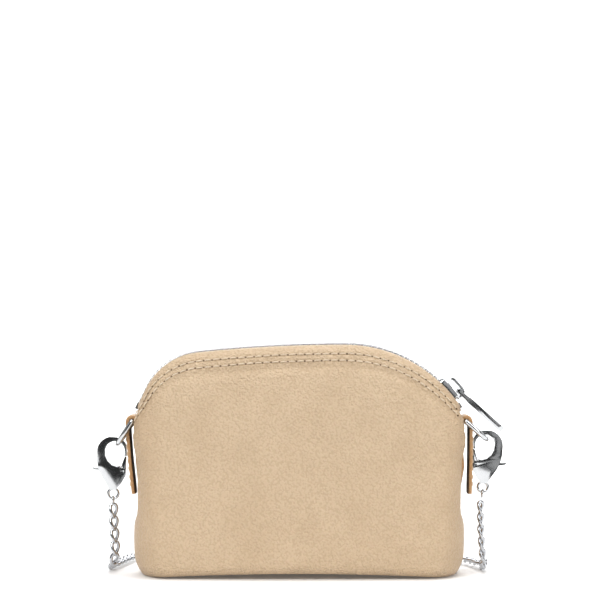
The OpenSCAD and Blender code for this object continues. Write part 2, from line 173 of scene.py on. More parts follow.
class Bench:
    # the node tree of one material
    def __init__(self, name):
        self.material = bpy.data.materials.new(name)
        self.material.use_nodes = True
        self.tree = self.material.node_tree
        self.surface = self.tree.nodes["Principled BSDF"]
        self.place = self.add("ShaderNodeTexCoord", out="Object")

    def add(self, kind, settings=None, inputs=None, out=0):
        node = self.tree.nodes.new(kind)
        for key, value in (settings or {}).items():
            if key == "stops":
                ramp = node.color_ramp
                while len(ramp.elements) < len(value):
                    ramp.elements.new(0.5)
                for element, (at, colour) in zip(ramp.elements, value):
                    element.position, element.color = at, (*colour, 1)
            else:
                setattr(node, key, value)
        for key, value in (inputs or {}).items():
            self.join(node.inputs[key], value)
        return Num(self, node.outputs[out])

    def join(self, socket, value):
        if isinstance(value, Num):
            self.tree.links.new(value.socket, socket)
        elif isinstance(value, tuple) and len(value) == 3 and socket.type == "RGBA":
            socket.default_value = (*value, 1)
        else:
            socket.default_value = value

    def noise(self, scale, detail=3.0, rough=0.5, where=None, warp=0.0):
        return self.add("ShaderNodeTexNoise", {}, {"Vector": where or self.place, "Scale": scale,
                        "Detail": detail, "Roughness": rough, "Distortion": warp})

    def cells(self, scale, feature="F1", where=None, spread=1.0, out="Distance"):
        return self.add("ShaderNodeTexVoronoi", {"feature": feature}, {
            "Vector": where or self.place, "Scale": scale, "Randomness": spread}, out)

    def axes(self, where=None):
        split = self.add("ShaderNodeSeparateXYZ", {}, {0: where or self.place}).socket.node
        return [Num(self, s) for s in split.outputs]

    def stretch(self, size, turn=(0, 0, 0), where=None):
        return self.add("ShaderNodeMapping", {}, {"Vector": where or self.place,
                                                   "Scale": size, "Rotation": turn})

    def blendColour(self, share, a, b, way="MIX"):
        node = self.add("ShaderNodeMix", {"data_type": "RGBA", "blend_type": way}).socket.node
        for socket, value in zip((node.inputs[0], node.inputs[6], node.inputs[7]), (share, a, b)):
            self.join(socket, value)
        return Num(self, node.outputs[2])

    def bump(self, height, depth, strength=1.0, under=None):
        # height 0..1 stands for depth metres
        inputs = {"Height": height, "Strength": strength, "Distance": depth}
        if under is not None:
            inputs["Normal"] = under
        return self.add("ShaderNodeBump", {}, inputs)

    def dress(self, **sockets):
        for key, value in sockets.items():
            self.join(self.surface.inputs[key.replace("_", " ")], value)
        return self.material


def colour(r, g, b):
    # screen values 0..255 to linear light
    return tuple((c / 12.92 if c <= 0.04045 else ((c + 0.055) / 1.055) ** 2.4)
                 for c in (r / 255, g / 255, b / 255))


# side: painted shade, a darker colour blended in towards the pouch's left and right sides, where the wall
# turns away from the light
leather = {"pale": colour(207, 182, 151), "deep": colour(184, 157, 124), "side": colour(188, 160, 128),
           "grain": 1250, "fine": 3600, "grainDepth": 0.0005, "rough": 0.44}


def makeLeather(name, pale, deep, side, grainDepth):
    b = Bench(name)
    wander = b.noise(70, 3)
    warped = b.add("ShaderNodeVectorMath", {"operation": "MULTIPLY_ADD"},
                   {0: b.noise(500, 2), 1: (0.0006,) * 3, 2: b.place})
    pebble = b.cells(leather["grain"], "SMOOTH_F1", warped)
    pore = b.noise(leather["fine"], 4, 0.6)
    crest = 1 - pebble.between(0.15, 0.75)
    height = crest * 0.8 + pore * 0.3 + b.noise(260, 2) * 0.35
    shade = b.blendColour(crest.between(0.05, 0.8, 0.55, 1.0), deep, pale)
    patch = b.blendColour(wander.between(0.35, 0.75, 0.0, 0.3), shade, deep)
    across = b.axes()[0]
    # painted shade: up to 0.6 of the side colour, ramped in as |x| runs from 55 to 71 mm
    edge = (across * across).between(0.055 ** 2, 0.071 ** 2, 0.0, 0.6)
    return b.dress(Base_Color=b.blendColour(edge, patch, side),
                   Roughness=pore.between(0.3, 0.7, leather["rough"] - 0.06, leather["rough"] + 0.12)
                   + crest * -0.05,
                   Normal=b.bump(height, grainDepth), IOR=1.46)


panelLeather = makeLeather("panelLeather", leather["pale"], leather["deep"], leather["side"],
                           leather["grainDepth"])


def makeFibre(name, pale, deep, rough, depth):
    # flesh side and cut edge of the straps: matted fibres
    b = Bench(name)
    fibre = b.noise(900, 5, 0.7)
    return b.dress(Base_Color=b.blendColour(fibre.between(0.3, 0.7), deep, pale),
                   Roughness=fibre.between(0.2, 0.8, rough - 0.06, rough), Normal=b.bump(fibre, depth))


# strap flesh side: dark grey-brown, partly the backing's own colour and partly painted shade from the gap
# between strap and pouch
strapInsideShaded = makeFibre("strapInsideShaded", colour(112, 92, 72), colour(66, 54, 44), 0.92, 0.0002)
strapEdge = makeFibre("strapEdge", colour(196, 154, 108), colour(168, 126, 84), 0.55, 0.0001)
# the strap's side colour is painted shade too, blended in by the same x ramp
strapLeather = makeLeather("strapLeather", colour(206, 172, 130), colour(176, 138, 96),
                           colour(190, 152, 110), 0.00022)


def makeMetal(name, tint, rough, scratch=0.05):
    b = Bench(name)
    smear = b.noise(140, 4, 0.6)
    fine = b.noise(60, 2, 0.5, b.stretch((40, 40, 6), (0.3, 0.5, 0)))
    shade = b.blendColour(smear.between(0.4, 0.75, 0.0, 0.5), tint, tuple(c * 0.82 for c in tint))
    return b.dress(Base_Color=shade, Metallic=1.0,
                   Roughness=smear.between(0.3, 0.8, rough, rough + scratch * 1.6),
                   Normal=b.bump(fine, 0.00002, 0.5))


chrome = makeMetal("chrome", (0.60, 0.61, 0.62), 0.09)
chainMetal = makeMetal("chainMetal", (0.50, 0.51, 0.53), 0.15)
toothMetal = makeMetal("toothMetal", (0.56, 0.56, 0.57), 0.22)


def makeWeave(name, pale, deep, threads=2200, uvScale=None):
    # plain weave: two crossing rows of threads, each going over and under
    b = Bench(name)
    where = b.add("ShaderNodeUVMap", {"uv_map": "surface"}) if uvScale else b.place
    x, y, z = b.axes(where)
    u, v = (x, y) if uvScale else (x + y * 0.6, z)
    warpRow = (u * threads).maths("SINE") * 0.5 + 0.5
    weftRow = (v * threads).maths("SINE") * 0.5 + 0.5
    cloth = warpRow * (1 - weftRow) + weftRow * (1 - warpRow)
    fuzz = b.noise(1800, 4, 0.7)
    return b.dress(Base_Color=b.blendColour(cloth * 0.6 + fuzz * 0.5, deep, pale), Roughness=0.86,
                   Normal=b.bump(cloth * 0.7 + fuzz * 0.3, 0.00012))


tapeCloth = makeWeave("tapeCloth", colour(214, 190, 158), colour(158, 132, 102), 9000, True)
liningCloth = makeWeave("liningCloth", colour(196, 172, 140), colour(150, 126, 98), 5200)


def makeThread():
    b = Bench("threadTwist")
    strand = b.add("ShaderNodeTexWave", {"bands_direction": "DIAGONAL"}, {
        "Vector": b.place, "Scale": 1500.0, "Distortion": 1.0, "Detail": 1.0})
    return b.dress(Base_Color=b.blendColour(strand, colour(196, 172, 140), colour(240, 226, 204)),
                   Roughness=0.72, Normal=b.bump(strand, 0.00005))


thread = makeThread()
# dark brown discs at the needle holes: painted shade inside the holes
needleHoleShade = Bench("needleHoleShade")
needleHoleShade = needleHoleShade.dress(Base_Color=needleHoleShade.blendColour(
    needleHoleShade.noise(1500), colour(70, 52, 36), colour(110, 84, 58)), Roughness=0.95)
print("materials ready")

# ---------- camera, light and floor ----------
camera = bpy.data.objects.new("camera", bpy.data.cameras.new("camera"))
camera.location, camera.rotation_euler = (0.0004, -0.85, 0.117), (math.pi / 2, 0, 0)
camera.data.lens, camera.data.sensor_width, camera.data.clip_end = 118.6, 36, 20
bpy.context.scene.collection.objects.link(camera)
bpy.context.scene.camera = camera

bpy.context.scene.view_settings.view_transform = "Standard"
studio = {"sky": 0.56, "dark": 0.025, "key": 6.6, "fill": 3.1, "top": 7.0, "back": 3.0}


def addLight(name, at, size, power, look=(0, 0, 0.05)):
    light = bpy.data.lights.new(name, "AREA")
    light.shape, light.size, light.size_y, light.energy = "RECTANGLE", size[0], size[1], power
    lamp = bpy.data.objects.new(name, light)
    lamp.location = at
    way = np.array(look) - np.array(at)
    lamp.rotation_euler = (math.acos(-way[2] / np.linalg.norm(way)), 0,
                           math.atan2(way[1], way[0]) - math.pi / 2)
    bpy.context.scene.collection.objects.link(lamp)


addLight("key", (-0.5, -0.75, 0.75), (0.5, 0.5), studio["key"])
addLight("fill", (0.75, -0.55, 0.45), (0.35, 0.6), studio["fill"])
addLight("top", (0.05, 0.1, 1.0), (0.9, 0.5), studio["top"])
addLight("back", (0.1, 0.9, 0.6), (0.6, 0.4), studio["back"])

world = bpy.data.worlds.new("studio")
bpy.context.scene.world = world
world.use_nodes = True
room = Bench.__new__(Bench)
room.tree = world.node_tree
room.place = room.add("ShaderNodeTexCoord", out="Generated")
east, north, high = room.axes()
# pale room with a dark wall behind the camera and two dark flags beside it
behind = (0 - north).between(-0.1, 0.35) * (1 - high.between(0.45, 0.8))
flags = (east * east).between(0.30, 0.42) * (1 - (east * east).between(0.62, 0.75))
flags = flags * (1 - high.between(0.3, 0.6))
pane = (east * 7 + 0.6).maths("SINE").between(0.72, 0.8) * high.between(-0.15, 0.0)
shade = (1 - (behind * 0.97 + flags * 0.85).maths("MINIMUM", 0.97)) + behind * pane * 0.8
# only what the metal and leather reflect is shaded: the room itself looks pale from every side
seen = room.add("ShaderNodeLightPath", out="Is Camera Ray")
glow = room.blendColour(shade, (studio["dark"],) * 3, (studio["sky"],) * 3)
room.join(world.node_tree.nodes["Background"].inputs[0], room.blendColour(seen, glow, (0.94, 0.94, 0.94)))
world.node_tree.nodes["Background"].inputs[1].default_value = 1.0

# the paper glows: painted light, faint on the floor near the front and full on the wall behind
paper = Bench("paper")
paperGlowY = paper.axes()[1]
paper = paper.dress(Base_Color=paper.blendColour(paper.noise(3).between(0.4, 0.6), (0.90, 0.90, 0.90),
                                                 (0.92, 0.92, 0.92)), Roughness=0.9,
                    Emission_Color=paper.blendColour(paperGlowY.between(0.3, 0.8), (0.1, 0.1, 0.1),
                                                     (1.0, 1.0, 1.0)),
                    Emission_Strength=0.6)
# floor that turns up behind the object: flat, then a quarter circle, then a wall
bend = np.radians(np.linspace(0, 90, 24))
curve = np.stack([1.2 + 0.6 * np.sin(bend), 0.6 - 0.6 * np.cos(bend) - 0.0003], 1)
rail = np.concatenate([[[-0.3, -0.0003]], curve, [[1.8, 2.5]]])
sweep = np.stack([np.stack([np.full(len(rail), x), rail[:, 0], rail[:, 1]], 1) for x in (1.1, -1.1)], 1)
floor = makeObject("studioFloor", sweep, gridFaces(len(rail), 2), paper)

# ---------- curb chain ----------
chain = {"across": 4.4 * mm, "pitch": 5.1 * mm, "wire": 0.76 * mm, "halfWidth": 1.8 * mm,
         "halfLength": 3.2 * mm, "twist": 42, "coilMiddle": 26 * mm, "coilCentre": (0, 75 * mm)}
dropRight = [(78, 0, 30), (78, 0, 24), (78.2, 0, 17), (78.6, 0, 10), (79, 0, 6),
             (79.6, 1, 3.6), (80, 4, 2.3), (79, 10, 2.2)]
dropLeft = [(-79.8, 0, 29.2), (-79.6, 0, 22), (-79.2, 0, 16), (-79, 0, 10), (-79, 0, 6),
            (-80, 1, 3.6), (-81, 4, 2.3), (-80, 12, 2.2)]
floorLeft = [(-80, 12, 2.2), (-77, 26, 2.2), (-73, 40, 2.2), (-66, 52, 2.2), (-57, 61.5, 2.2),
             (-47, 67.5, 2.2), (-37, 72, 2.2)]
floorRight = [(41.5, 59, 2.2), (48.5, 50, 2.2), (56, 43.5, 2.2), (65, 37, 2.2), (71.5, 29, 2.2),
              (76, 20, 2.2), (79, 10, 2.2)]


def coilTurns():
    # six turns: three side by side on the floor going inwards, three on top going out
    perTurn = 40
    turns = np.arange(0, 5.55, 1 / perTurn)
    angle = math.pi - 2 * math.pi * turns
    ring = np.minimum(turns, 5.6)
    out = np.where(ring < 3, 1 - np.floor(ring + 0.12),
                   np.floor(ring + 0.12) - 4)
    level = np.where(ring + 0.12 < 3, 0.0, 1.0)
    kernel = np.ones(7) / 7
    ease = lambda a: np.convolve(np.pad(a, 3, mode="edge"), kernel, "valid")
    r = chain["coilMiddle"] + ease(np.clip(out, -1, 1)) * chain["across"]
    z = (0.5 + ease(level)) * chain["across"]
    cx, cy = chain["coilCentre"]
    return np.stack([cx + r * np.cos(angle), cy + r * np.sin(angle), z], 1)


def chainLinks(name, line, sides, beads, roll):
    # one link: a long loop, x = a cos t cos f, z = a cos t sin f, s = b sin t,
    # where f grows with sin t, so its two ends lie in turned planes
    t = np.arange(beads) * 2 * math.pi / beads
    twist = np.radians(chain["twist"]) * np.sin(t)
    loop = np.stack([chain["halfWidth"] * np.cos(t) * np.cos(twist), chain["halfLength"] * np.sin(t),
                     chain["halfWidth"] * np.cos(t) * np.sin(twist)], 1)
    loop *= 1 - chain["wire"] * 0.35 / chain["halfLength"]
    tangent = unit(np.roll(loop, -1, 0) - np.roll(loop, 1, 0))
    inward = unit(loop * (1, 0.2, 1))
    side = unit(np.cross(tangent, inward))
    inward = np.cross(side, tangent)
    a = np.arange(sides) * 2 * math.pi / sides
    tube = loop[:, None] + chain["wire"] * (np.cos(a)[None, :, None] * inward[:, None]
                                            + np.sin(a)[None, :, None] * side[:, None])
    faces = gridFaces(beads, sides, wrapRows=True, wrapCols=True)
    middle = (line[:-1] + line[1:]) / 2
    ahead = unit(line[1:] - line[:-1])
    level = np.array([0.0, 0.0, 1.0]) - ahead * ahead[:, 2:3]
    steep = np.linalg.norm(level, axis=1) < 0.5
    blendUp = np.where(steep[:, None], np.array([[0.0, 1.0, 0.0]]), np.array([[0.0, 0.0, 1.0]]))
    right = unit(np.cross(ahead, blendUp))
    up = np.cross(right, ahead)
    turn = roll(middle)[:, None]
    r2 = right * np.cos(turn) + up * np.sin(turn)
    u2 = up * np.cos(turn) - right * np.sin(turn)
    pts, fs = repeatShape(tube.reshape(-1, 3), faces, middle, r2, ahead, u2)
    return outward(makeObject(name, pts, fs, chainMetal))


def runOf(points):
    return alongRoute(np.array(points) * mm, chain["pitch"])


lineRight, longRight = runOf(dropRight)
lineLeft, longLeft = runOf(dropLeft)
coil = coilTurns()
mainPoints = np.concatenate([np.array(floorLeft) * mm, coil[3:], np.array(floorRight) * mm])
lineMain, longMain = alongRoute(mainPoints, chain["pitch"])
rightDrop = chainLinks("chainRightDrop", lineRight, 10, 24, lambda m: np.full(len(m), 1.2))
leftDrop = chainLinks("chainLeftDrop", lineLeft, 10, 24, lambda m: np.full(len(m), 0.8))
mainRun = chainLinks("chainOnFloor", lineMain, 5, 12, lambda m: np.full(len(m), 0.0))
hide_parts("chain_drop_right")
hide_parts("chain_drop_left")
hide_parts("chain_floor_left", "chain_floor_right", "chain_coil")
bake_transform(rightDrop)
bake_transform(leftDrop)
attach(mainRun, "pouch")
print("chain:", round(longRight + longLeft + longMain, 3), "m")

# ---------- line of the zip, and the leather wall ----------
zipShape = {"crown": (19.4, 98.9), "leftR": 28.0, "crownR": 600.0, "rightR": 60.0, "rise": 64.0,
            "crownRise": 6.0, "fall": 58.0, "run": 12.3, "tail": 2.0}
pouch = {"half": 70.1, "bulge": 20.0, "lip": 4.8, "leather": 1.4, "baseR": 5.0, "corner": 0.14,
         "cornerW": 14.0, "lipRun": 11.0, "edgeDrop": 1.0, "dent": 3.3, "dentHalf": 11.0, "baseLift": 1.9}
zs = zipShape
sLeft = zs["run"]
sFlat = sLeft + zs["leftR"] * math.radians(zs["rise"] - zs["crownRise"])
sTop = sFlat + zs["crownR"] * math.radians(zs["crownRise"])
sRight = sTop + zs["rightR"] * math.radians(zs["fall"])
zipLength = sRight + zs["tail"]


def headingAt(s):
    # straight, left arc, crown arc, right arc, straight: degrees above level
    return np.degrees(np.select(
        [s < sLeft, s < sFlat, s < sTop, s < sRight],
        [np.radians(zs["rise"]), np.radians(zs["rise"]) - (s - sLeft) / zs["leftR"],
         np.radians(zs["crownRise"]) - (s - sFlat) / zs["crownR"], -(s - sTop) / zs["rightR"]],
        -np.radians(zs["fall"])))


def zipAt(s):
    # integral of the heading, in closed form: each arc's centre plus its radius
    s = np.asarray(s, float)
    cx, cz = zs["crown"]
    cr, lr, rr = zs["crownR"], zs["leftR"], zs["rightR"]
    c6, s6 = math.cos(math.radians(zs["crownRise"])), math.sin(math.radians(zs["crownRise"]))
    crownC, rightC = np.array([cx, cz - cr]), np.array([cx, cz - rr])
    leftC = crownC + (cr - lr) * np.array([-s6, c6])
    h = np.radians(headingAt(s))[..., None]
    ray = np.concatenate([-np.sin(h), np.cos(h)], -1)
    flow = np.concatenate([np.cos(h), np.sin(h)], -1)
    sv = s[..., None]
    return np.where(sv < sLeft, leftC + lr * ray - (sLeft - sv) * flow,
                    np.where(sv < sFlat, leftC + lr * ray,
                             np.where(sv < sTop, crownC + cr * ray,
                                      rightC + rr * ray + np.maximum(0, sv - sRight) * flow)))


def turnAt(p):
    return np.radians(90 * np.minimum(1, np.minimum(p, 1 - p) / pouch["corner"]))


def spread(p, span, run):
    # the same share of a length taken from both ends of a span
    k = pouch["corner"]
    ends = run * (1 - np.cos(turnAt(p)))
    return np.where(p < k, ends, np.where(p > 1 - k, span - ends,
                                          run + (p - k) / (1 - 2 * k) * (span - 2 * run)))


def wallAt(p, t, e):
    # x blends from the base's width to the zip line, y is a flattened dome over the
    # lip gap, z runs from the base to the lip; e is the distance in from the outside
    p, t = np.broadcast_arrays(np.asarray(p, float), np.asarray(t, float))
    q = pouch
    top = zipAt(spread(p, zipLength, q["lipRun"]))
    z = e + t * (top[..., 1] - q["edgeDrop"] - 2 * e)
    u = spread(p, 2 * q["half"], q["cornerW"]) / q["half"] - 1
    m = smoothStep(t)
    width = q["half"] + 0.7 * np.cos(2 * math.pi * (z - 15) / 50) - 2.5 * np.maximum(0, 1 - z / 8) ** 2
    x = m * top[..., 0] * (1 - e / q["half"]) + (1 - m) * u * (width - e)
    deep = q["lip"] + (q["bulge"] - e) * np.maximum(0, 1 - t * t) ** 0.6 * (
        0.82 + 0.18 * (1 - (2 * p - 1) ** 2))
    r = q["baseR"] - e
    tuck = r - np.sqrt(np.maximum(0, r * r - np.maximum(0, r - (z - e)) ** 2))
    y = np.sin(turnAt(p)) * (deep - tuck)
    # the strap presses the seam in; beside it the leather swells out and covers its edge
    upper = smoothStep((z - 48) / 8)
    dent = q["dent"] * smoothStep((q["dentHalf"] - 3 * upper - np.abs(y)) / (4 - 2.2 * upper)) * smoothStep(
        (z - 20) / 14) * smoothStep((72 - z) / 5)
    swell = 1.15 * smoothStep((np.abs(y) - 6.4) / 1.8) * smoothStep((z - 47) / 14) * smoothStep(
        (74 - z) / 9) * smoothStep((np.abs(x) - 56) / 12)
    dent = dent - swell
    # the base sags onto its two ends, so its front edge is lifted in the middle
    lift = q["baseLift"] * np.maximum(0, 1 - (x / 62) ** 2) * smoothStep((np.abs(y) - 7) / 9) * (
        1 - smoothStep((z - 2) / 26))
    return np.stack([x - np.sign(x) * dent, -y, z + lift], -1)


def sideRows(rows, e, curve=1.7):
    # t values: the rounded bottom edge first, then closer and closer towards the lip
    low = (pouch["baseR"] - e) / 90
    bottom = low * (1 - np.cos(np.radians(np.linspace(0, 90, 7))))
    v = np.linspace(0, 1, rows)[1:]
    return np.concatenate([bottom, low + (1 - low) * (1 - (1 - v) ** curve)])


def wallSheet(p, e, rows, topAt=1.0):
    # the flat base runs from the middle seam out to the rounding, then the wall rises
    t = sideRows(rows, e) * topAt
    wall = wallAt(p[None, :], t[:, None], e)
    start = wall[0]
    base = [np.stack([start[:, 0] * (0.9 + 0.1 * f), start[:, 1] * f,
                      start[:, 2] * f + e * (1 - f)], -1) for f in np.linspace(0, 1, 9)[:-1]]
    return np.concatenate([np.array(base), wall]), t


stitch = {"rows": (3.7, 6.5), "pitch": 3.6, "length": 2.6, "radius": 0.3,
          "pucker": 0.22, "crease": 0.5}


def leatherShape(points, p, side):
    # soft unevenness of real leather: low waves, a raised band along the lip,
    # a crease under the second seam and small puckers between its stitches
    x, z = points[..., 0], points[..., 2]
    top = zipAt(spread(p, zipLength, pouch["lipRun"]))[None, :, 1] - pouch["edgeDrop"]
    below = top - z
    s = spread(p, zipLength, pouch["lipRun"])[None, :]
    wave = 0.28 * np.sin(x / 17 + 1.3 * side) * np.sin(z / 14 + 0.7) + 0.16 * np.sin(x / 7.3 + z / 9.1 + side)
    fade = smoothStep(below / 14) * smoothStep(z / 8)
    seam = lambda d, w: np.exp(-((below - d) / w) ** 2)
    pucker = stitch["pucker"] * np.cos(2 * math.pi * s / stitch["pitch"]) * (
        seam(stitch["rows"][1] + 1.5, 1.3) + 0.5 * seam(5.1, 1.0))
    press = -0.28 * seam(stitch["rows"][0], 0.6) - 0.32 * seam(stitch["rows"][1], 0.6)
    roll = -stitch["crease"] * seam(stitch["rows"][1] + 2.6, 1.5)
    ripple = 0.14 * smoothStep(below / 6) * (1 - smoothStep((below - 12) / 20)) * np.sin(
        s / 2.9 + 0.6 * np.sin(s / 8)) * (0.5 + 0.5 * np.sin(s / 11 + side))
    return wave * fade + pucker + press + roll + ripple


def pushOut(points, amount):
    # moves each point along its grid's own normal
    du = np.gradient(points, axis=1)
    dv = np.gradient(points, axis=0)
    n = unit(np.cross(du, dv))
    return points + n * amount[..., None]


def panel(name, side):
    # side -1 is the front, +1 the back, the mirror of it
    ends = np.linspace(0, 1, 22) * pouch["corner"]
    p = np.concatenate([ends, np.linspace(pouch["corner"], 1 - pouch["corner"], 210)[1:-1], 1 - ends[::-1]])
    outer, t = wallSheet(p, 0, 130)
    amount = leatherShape(outer, p, side)
    inPlane = np.sin(turnAt(p))[None, :] ** 0.7
    steep = smoothStep((outer[..., 2] - 6) / 8)
    outer = pushOut(outer, amount * inPlane * steep)
    inner = wallSheet(p, pouch["leather"], 30)[0]
    # the cut edge of the lip is rounded over from the outside to the inside
    a, b = outer[-1], inner[-1]
    k = np.linspace(0, 1, 8)[1:-1, None, None]
    out = np.stack([np.zeros(len(p)), np.sin(turnAt(p)) ** 0.5, np.zeros(len(p))], -1)
    lip = a * (1 - k) + b * k + out * 0.42 * np.sin(math.pi * k)
    grid = np.concatenate([outer, lip, inner[::-1]]) * mm
    if side > 0:
        grid = grid * (1, -1, 1)
    rows, cols = grid.shape[:2]
    # the base edge joins the last row to the first, and one face closes each side seam
    faces = gridFaces(rows, cols, wrapRows=True)
    seams = [(np.arange(rows) * cols + col).tolist() for col in (0, cols - 1)]
    return grid, faces, seams


def leatherPanel(name, side):
    grid, faces, seams = panel(name, side)
    obj = outward(makeObject(name, grid, faces, panelLeather, extra=seams))
    return obj


frontLeather = leatherPanel("frontLeather", -1)
backLeather = leatherPanel("backLeather", 1)


def opensWith(piece, side, slotName, *nodes):
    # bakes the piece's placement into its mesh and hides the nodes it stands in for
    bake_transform(piece)
    if nodes:
        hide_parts(*nodes)
    return piece


opensWith(frontLeather, -1, "panel_leather", "front_panel")
opensWith(backLeather, 1, "panel_leather", "back_panel")
print("leather panels ready")


# ---------- lining ----------
def liningSheet(name, side):
    p = np.linspace(0, 1, 90)
    outer, t = wallSheet(p, pouch["leather"] + 0.2, 40, 0.9)
    inner, t = wallSheet(p, pouch["leather"] + 0.6, 40, 0.9)
    wave = lambda g: np.sin(g[..., 0:1] / 6.1 + g[..., 2:3] / 23) * 0.5 + 0.5
    fold = lambda g, k: g + np.array([0, k, 0]) * wave(g) * (
        smoothStep((g[..., 2:3] - 6) / 20)) * np.sin(turnAt(p))[None, :, None]
    grid = np.concatenate([fold(outer, 0.5), fold(inner, 0.5)[::-1]]) * mm
    if side > 0:
        grid = grid * (1, -1, 1)
    rows, cols = grid.shape[:2]
    seams = [(np.arange(rows) * cols + col).tolist() for col in (0, cols - 1)]
    return outward(makeObject(name, grid, gridFaces(rows, cols, wrapRows=True), liningCloth, extra=seams))


opensWith(liningSheet("frontLining", -1), -1, "lining", "front_lining")
opensWith(liningSheet("backLining", 1), 1, "lining", "back_lining")

# ---------- zip ----------
zipSpec = {"pitch": 2.5, "first": 6.0, "last": sTop + zs["rightR"] * math.radians(49.5), "tapeIn": 1.9,
           "tapeLow": 1.05, "tapeThick": 0.5}


def offZip(s, y, high):
    c, h = zipAt(s), np.radians(headingAt(s))
    return np.stack([c[..., 0] - high * np.sin(h), np.broadcast_to(y, c[..., 0].shape),
                     c[..., 1] + high * np.cos(h)], -1)


def lipShare(s):
    # share of the wall's sweep that lies under one place on the zip
    run, k = pouch["lipRun"], pouch["corner"]
    low = k * np.degrees(np.arccos(np.clip(1 - s / run, -1, 1))) / 90
    high = 1 - k * np.degrees(np.arccos(np.clip(1 - (zipLength - s) / run, -1, 1))) / 90
    return np.where(s < run, low, np.where(s > zipLength - run, high,
                                           k + (s - run) / (zipLength - 2 * run) * (1 - 2 * k)))


def zipTape(name, side):
    # a strip that starts beside the teeth, dips under the lip and follows the leather down
    s = np.linspace(2, zipLength - 1.5, 240)
    share = lipShare(s)
    narrow = np.maximum(0.45, np.sin(turnAt(share)))

    def face(low):
        wave = 0.05 * np.sin(s * 2.1)
        cols = [offZip(s, -zipSpec["tapeIn"] * np.minimum(1, narrow * 1.2), -zipSpec["tapeLow"] - low)]
        cols += [offZip(s, -a * narrow, -zipSpec["tapeLow"] - b - low + wave)
                 for a, b in ((2.7, 0.02), (3.5, 0.07), (4.3, 0.15))]
        cols += [wallAt(share, np.full(len(s), t), pouch["leather"] + 0.3 + low) for t in (1, 0.975, 0.945)]
        return np.stack(cols, 0)
    grid = np.concatenate([face(0), face(zipSpec["tapeThick"])[::-1]])
    rows, cols = grid.shape[:2]
    uv = np.stack(np.broadcast_arrays(s[None, :] * mm, np.arange(rows)[:, None] * 0.9 * mm), -1)
    if side > 0:
        grid = grid * (1, -1, 1)
    ends = [(np.arange(rows) * cols + c).tolist() for c in (0, cols - 1)]
    return outward(makeObject(name, grid * mm, gridFaces(rows, cols, wrapRows=True), tapeCloth,
                              uv=uv, extra=ends))


def zipTeeth(name, side, shift):
    # each tooth is a bent block: a cupped nose over the middle, a waist, and a clamped foot
    s = np.arange(zipSpec["first"] + shift, zipSpec["last"], zipSpec["pitch"])
    h = np.radians(headingAt(s))
    # outline across the zip: half length along the zip, top and underside at each y
    y = np.array([0.72, 0.5, -0.1, -0.9, -1.5, -1.9, -2.9, -3.2])
    wide = np.array([0.36, 0.52, 0.60, 0.50, 0.62, 0.86, 0.86, 0.66])
    top = np.array([-0.5, -0.16, 0.0, 0.0, -0.06, 0.0, -0.05, -0.5])
    low = np.array([-1.9, -2.2, -2.4, -2.4, -2.3, -2.4, -2.35, -1.95])
    ring = []
    for a, b in ((-1, 0.22), (-0.62, 0), (0.62, 0), (1, 0.22)):
        ring.append(np.stack([a * wide, y, top - b], 1))
    for a, b in ((1, 0.22), (0.62, 0), (-0.62, 0), (-1, 0.22)):
        ring.append(np.stack([a * wide, y, low + b], 1))
    shape = np.stack(ring, 1)
    n, k = shape.shape[:2]
    faces = gridFaces(n, k, wrapCols=True)
    caps = np.array([[a, b, c, d] for o in (0, (n - 1) * k) for a, b, c, d in
                     ((o, o + 1, o + 6, o + 7), (o + 1, o + 2, o + 5, o + 6), (o + 2, o + 3, o + 4, o + 5))])
    caps[:3] = caps[:3, ::-1]
    c = zipAt(s)
    origin = np.stack([c[:, 0], np.zeros(len(s)), c[:, 1]], 1) * mm
    ahead = np.stack([np.cos(h), np.zeros(len(s)), np.sin(h)], 1)
    up = np.stack([-np.sin(h), np.zeros(len(s)), np.cos(h)], 1)
    out = np.tile([0.0, float(-side), 0.0], (len(s), 1))
    pts, fs = repeatShape(shape.reshape(-1, 3) * mm, np.concatenate([faces, caps]), origin, ahead, out, up)
    obj = makeObject(name, pts, fs, toothMetal)
    return outward(obj)


opensWith(zipTape("frontTape", -1), -1, "zip_tape", "front_tape", "front_tape_opening")
opensWith(zipTape("backTape", 1), 1, "zip_tape", "back_tape", "back_tape_opening")
opensWith(zipTeeth("frontTeeth", -1, 0), -1, "zip_teeth", "front_teeth", "front_teeth_opening")
opensWith(zipTeeth("backTeeth", 1, zipSpec["pitch"] / 2), 1, "zip_teeth", "back_teeth", "back_teeth_opening")
print("zip ready")


# ---------- stitching ----------
def seamLine(depth, side, s):
    # the place on the leather that lies depth below the lip, and the surface's way out there
    p = lipShare(s)
    top = zipAt(spread(p, zipLength, pouch["lipRun"]))[:, 1] - pouch["edgeDrop"]
    t = 1 - depth / top
    q, dt, dp = wallAt(p, t, 0), 1e-3, 1e-3
    sideways = wallAt(p + dp, t, 0) - wallAt(p - dp, t, 0)
    n = unit(np.cross(sideways, wallAt(p, t + dt, 0) - wallAt(p, t - dt, 0)))
    n = n * np.sign(-n[:, 1:2] + 1e-9)
    along = unit(np.gradient(q, axis=0))
    if side > 0:
        q, n, along = q * (1, -1, 1), n * (1, -1, 1), along * (1, -1, 1)
    return q, n, along


def stitchShape():
    # a short arched thread, thinner at its ends, along the first axis
    at = np.linspace(0, 1, 7)
    around = np.arange(6) * math.pi / 3
    middle = np.stack([(at - 0.5) * stitch["length"], 0 * at, 0.34 * np.sin(math.pi * at) ** 0.7 - 0.42], 1)
    width = stitch["radius"] * np.array([0.7, 1, 1.1, 1.12, 1.1, 1, 0.7])
    ring = np.stack([0 * around, np.cos(around), 0.8 * np.sin(around)], 1)
    tube = middle[:, None] + width[:, None, None] * ring[None]
    ends = [[0, 1, 2, 3], [0, 3, 4, 5], [39, 38, 37, 36], [41, 40, 39, 36]]
    return tube.reshape(-1, 3), np.concatenate([gridFaces(7, 6, wrapCols=True), ends])


